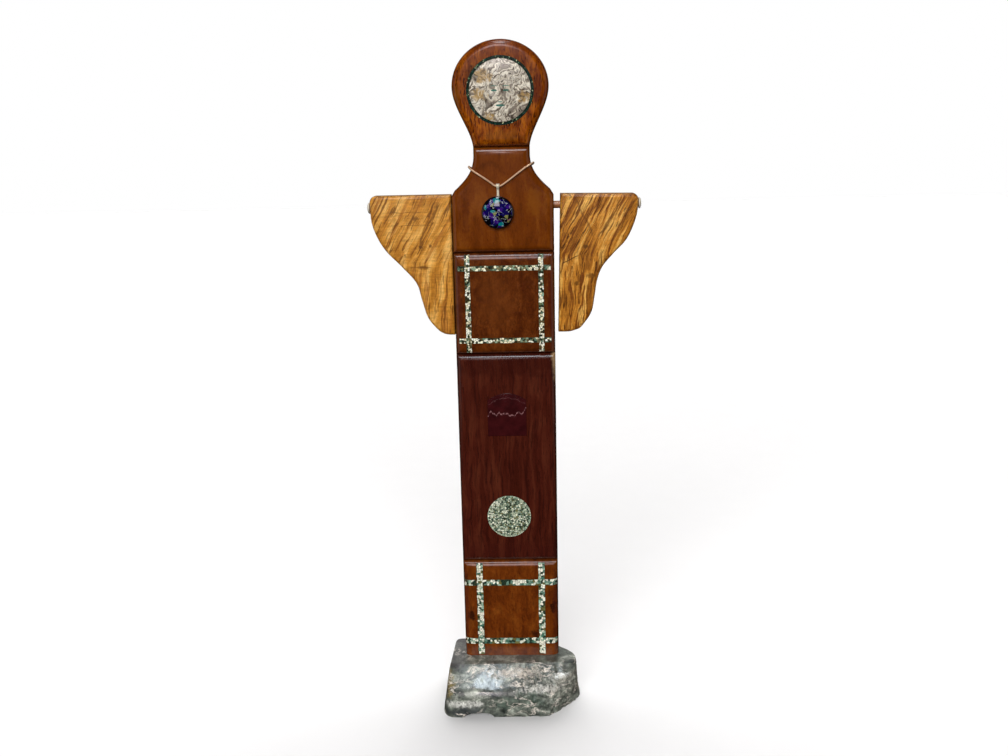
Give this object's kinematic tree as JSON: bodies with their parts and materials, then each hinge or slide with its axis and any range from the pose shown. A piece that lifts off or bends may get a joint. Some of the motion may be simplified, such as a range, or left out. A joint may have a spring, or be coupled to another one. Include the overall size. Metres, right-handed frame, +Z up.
{
  "type": "totem pole figure",
  "caption": "Wooden post figure with a round head, two wings on a cross rod, crushed-stone inlays and a hung pendant, standing on a polished stone.",
  "frame": {"origin": "on the flat underside of the stone, under the middle of the post", "axes": "+Z up along the post, -Y towards whoever looks at the front, +X to that viewer's right along the wing rod"},
  "size_m": [0.2383, 0.0833, 0.6003],
  "materials": {
    "stone": "polished grey-green marble",
    "burl_wood": "gloss lacquer",
    "purple_brown_wood": "gloss lacquer",
    "red_brown_wood": "gloss lacquer",
    "streaked_wood": "gloss lacquer",
    "honey_wood": "gloss lacquer",
    "rod_wood": "gloss lacquer",
    "crushed_stone": "crushed stone set in resin",
    "dark_crushed_stone": "crushed stone set in resin",
    "banded_stone": "polished banded stone",
    "dark_tablet": "polished dark stone",
    "cap_metal": "pale domed cap",
    "gold_metal": "polished rose-gold plate",
    "silver_metal": "polished pale plate",
    "art_glass": "fused glass, opaque"
  },
  "bodies": {
    "root": {"stone_base": "stone", "lower_panel_block": "burl_wood", "lower_panel_inlay": "crushed_stone", "middle_block": "purple_brown_wood", "middle_disc_inlay": "crushed_stone", "middle_tablet": "dark_tablet", "upper_panel_block": "burl_wood", "upper_panel_inlay": "crushed_stone", "shoulder_block": "red_brown_wood", "head_block": "streaked_wood", "head_stone_ring": "dark_crushed_stone", "head_stone_disc": "banded_stone", "wing_rod": "rod_wood", "rod_cap_left": "cap_metal", "rod_cap_right": "cap_metal", "necklace_chain": "gold_metal", "chain_clasp": "gold_metal", "pendant_bail": "silver_metal", "pendant": "art_glass"},
    "left_wing": {"wing_left": "honey_wood"},
    "right_wing": {"wing_right": "honey_wood"}
  },
  "joints": [
    {"name": "left_wing_swing", "type": "hinge", "parent": "root", "child": "left_wing", "pos_m": [-0.08, 0, 0.462], "axis": [1, 0, 0], "continuous": true},
    {"name": "right_wing_swing", "type": "hinge", "parent": "root", "child": "right_wing", "pos_m": [0.083, 0, 0.462], "axis": [1, 0, 0], "continuous": true}
  ]
}
